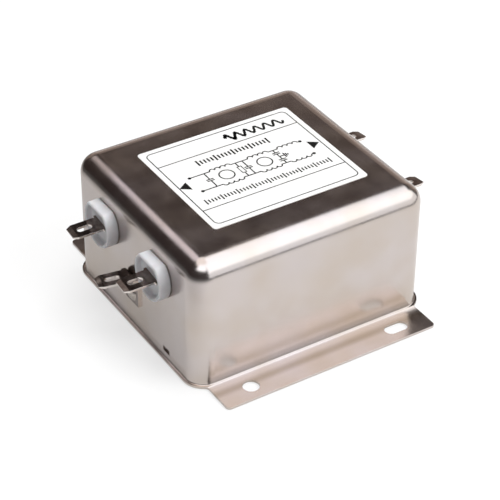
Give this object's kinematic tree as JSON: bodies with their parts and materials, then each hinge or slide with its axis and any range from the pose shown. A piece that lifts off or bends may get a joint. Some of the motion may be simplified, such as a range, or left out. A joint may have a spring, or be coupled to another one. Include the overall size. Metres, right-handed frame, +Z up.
{
  "type": "emi line filter",
  "caption": "Chassis-mount EMI line filter: drawn steel can with side flanges, blade terminals in round bushings at both ends and an earth blade at one end.",
  "frame": {"origin": "centre of the mounting plane, under the middle of the can", "axes": "+Z up out of the mounting plane; +X from the LINE end towards the LOAD end; the flanges lie towards -Y and +Y"},
  "size_m": [0.1112, 0.1014, 0.0453],
  "materials": {
    "plated_steel": "bright nickel plate over drawn steel",
    "plated_rivet": "bright plated",
    "tinned_brass": "tin-plated brass",
    "bushing_plastic": "satin moulded plastic",
    "label_film": "printed polyester film",
    "fish_paper": "insulating board",
    "nylon": "natural nylon",
    "laminate": "phenolic laminate",
    "black_plastic": "moulded plastic",
    "ferrite": "coated ferrite",
    "copper_wire": "enamelled copper",
    "capacitor_case": "moulded box",
    "capacitor_coating": "epoxy dip",
    "resistor_body": "lacquer"
  },
  "bodies": {
    "root": {"can": "plated_steel", "cover_plate": "plated_steel", "insulating_sheet": "fish_paper", "board_spacers": "nylon", "circuit_board": "laminate", "line_bushing_front": "bushing_plastic", "line_bushing_back": "bushing_plastic", "load_bushing_front": "bushing_plastic", "load_bushing_back": "bushing_plastic", "line_tab_front": "tinned_brass", "line_tab_back": "tinned_brass", "load_tab_front": "tinned_brass", "load_tab_back": "tinned_brass", "ground_terminal": "tinned_brass", "ground_rivet": "plated_rivet", "ground_lead": "copper_wire", "label": "label_film", "line_choke_base": "black_plastic", "line_choke_core": "ferrite", "line_choke_winding_front": "copper_wire", "line_choke_winding_back": "copper_wire", "load_choke_base": "black_plastic", "load_choke_core": "ferrite", "load_choke_winding_front": "copper_wire", "load_choke_winding_back": "copper_wire", "line_x_capacitor": "capacitor_case", "load_x_capacitor": "capacitor_case", "front_y_capacitor": "capacitor_coating", "back_y_capacitor": "capacitor_coating", "bleed_resistor": "resistor_body", "line_lead_front": "copper_wire", "line_lead_back": "copper_wire", "load_lead_front": "copper_wire", "load_lead_back": "copper_wire"}
  },
  "joints": []
}
